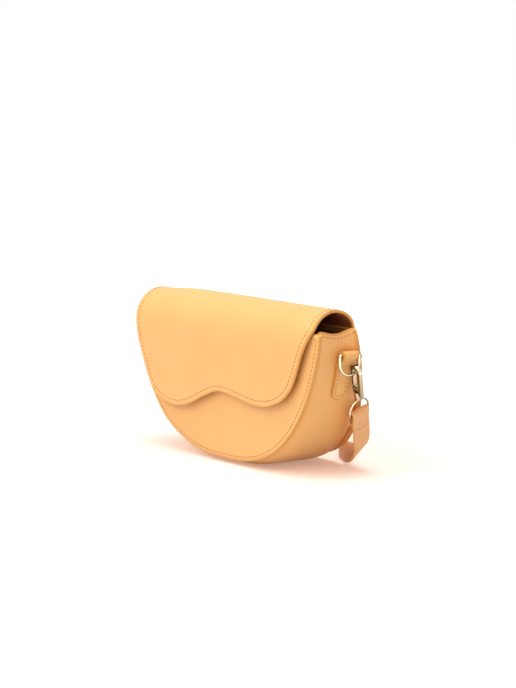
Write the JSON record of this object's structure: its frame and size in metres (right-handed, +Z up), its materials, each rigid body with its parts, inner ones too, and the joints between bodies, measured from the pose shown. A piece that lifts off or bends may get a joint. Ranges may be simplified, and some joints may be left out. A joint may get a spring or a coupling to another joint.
{
  "type": "saddle handbag",
  "caption": "Half-moon saddle handbag with a waved fold-over flap, side D-rings and a clip-on shoulder strap that lies behind it.",
  "frame": {"origin": "middle of the base on the floor, from the box of everything but the loose strap", "axes": "+X to the side of the right hook, -Y to the front with the flap, +Z up"},
  "size_m": [0.3026, 0.1916, 0.142],
  "materials": {
    "leather": "smooth apricot leather with a soft sheen",
    "lining": "dark brown woven lining",
    "flap_lining": "thin matt lining leather",
    "board": "grey-brown stiffening board",
    "thread": "waxed apricot thread",
    "gold": "polished pale gold plating",
    "steel": "plain bright steel"
  },
  "bodies": {
    "bag": {"front_panel": "leather", "back_panel": "leather", "gusset": "leather", "front_board": "board", "back_board": "board", "base_board": "board", "front_lining": "lining", "back_lining": "lining", "gusset_lining": "lining", "slip_pocket": "lining", "front_seam_thread": "thread", "back_seam_thread": "thread", "mouth_thread": "thread", "flap_root": "leather", "flap_root_thread": "thread", "snap_socket": "gold", "snap_socket_washer": "steel", "tab_right": "leather", "tab_left": "leather", "tab_thread_right": "thread", "tab_thread_left": "thread", "strap": "leather"},
    "flap": {"flap": "leather", "flap_lining": "flap_lining", "flap_thread": "thread", "snap_stud": "gold", "snap_stud_washer": "steel"},
    "ring_right": {"d_ring_right": "gold"},
    "hook_right": {"hook_body_right": "gold", "gate_pin_right": "steel", "gate_spring_right": "steel"},
    "gate_lever_right": {"gate_right": "gold"},
    "swivel_right": {"swivel_eye_right": "gold", "strap_end_right": "leather", "strap_rivets_right": "gold"},
    "ring_left": {"d_ring_left": "gold"},
    "hook_left": {"hook_body_left": "gold", "gate_pin_left": "steel", "gate_spring_left": "steel"},
    "gate_lever_left": {"gate_left": "gold"},
    "swivel_left": {"swivel_eye_left": "gold", "strap_end_left": "leather", "strap_rivets_left": "gold"}
  },
  "joints": [
    {"name": "flap_hinge", "type": "hinge", "parent": "bag", "child": "flap", "pos_m": [0, 0.00382, 0.12615], "axis": [-1, 0, 0], "range_deg": [0, 135]},
    {"name": "ring_swing_right", "type": "hinge", "parent": "bag", "child": "ring_right", "pos_m": [0.13241, -0.00575, 0.105], "axis": [0, -1, 0], "range_deg": [0, 90]},
    {"name": "hook_swing_right", "type": "hinge", "parent": "ring_right", "child": "hook_right", "pos_m": [0.13241, 0.00105, 0.09067], "axis": [0, -1, 0], "range_deg": [0, 90]},
    {"name": "gate_press_right", "type": "hinge", "parent": "hook_right", "child": "gate_lever_right", "pos_m": [0.12264, 0.0073, 0.07606], "axis": [0.1254, 0.9397, 0.3182], "range_deg": [0, 22], "stiffness_Nm_per_rad": 0.01, "springref_deg": -17.19},
    {"name": "swivel_turn_right", "type": "hinge", "parent": "hook_right", "child": "swivel_right", "pos_m": [0.12545, 0.00876, 0.07065], "axis": [0.3444, -0.342, 0.8743], "range_deg": [-20, 20]},
    {"name": "ring_swing_left", "type": "hinge", "parent": "bag", "child": "ring_left", "pos_m": [-0.13241, -0.00575, 0.105], "axis": [0, 1, 0], "range_deg": [0, 90]},
    {"name": "hook_swing_left", "type": "hinge", "parent": "ring_left", "child": "hook_left", "pos_m": [-0.13241, 0.00105, 0.09067], "axis": [0, 1, 0], "range_deg": [0, 90]},
    {"name": "gate_press_left", "type": "hinge", "parent": "hook_left", "child": "gate_lever_left", "pos_m": [-0.12264, 0.0073, 0.07606], "axis": [0.1254, -0.9397, -0.3182], "range_deg": [0, 22], "stiffness_Nm_per_rad": 0.01, "springref_deg": -17.19},
    {"name": "swivel_turn_left", "type": "hinge", "parent": "hook_left", "child": "swivel_left", "pos_m": [-0.12545, 0.00876, 0.07065], "axis": [0.3444, 0.342, -0.8743], "range_deg": [-20, 20]}
  ]
}
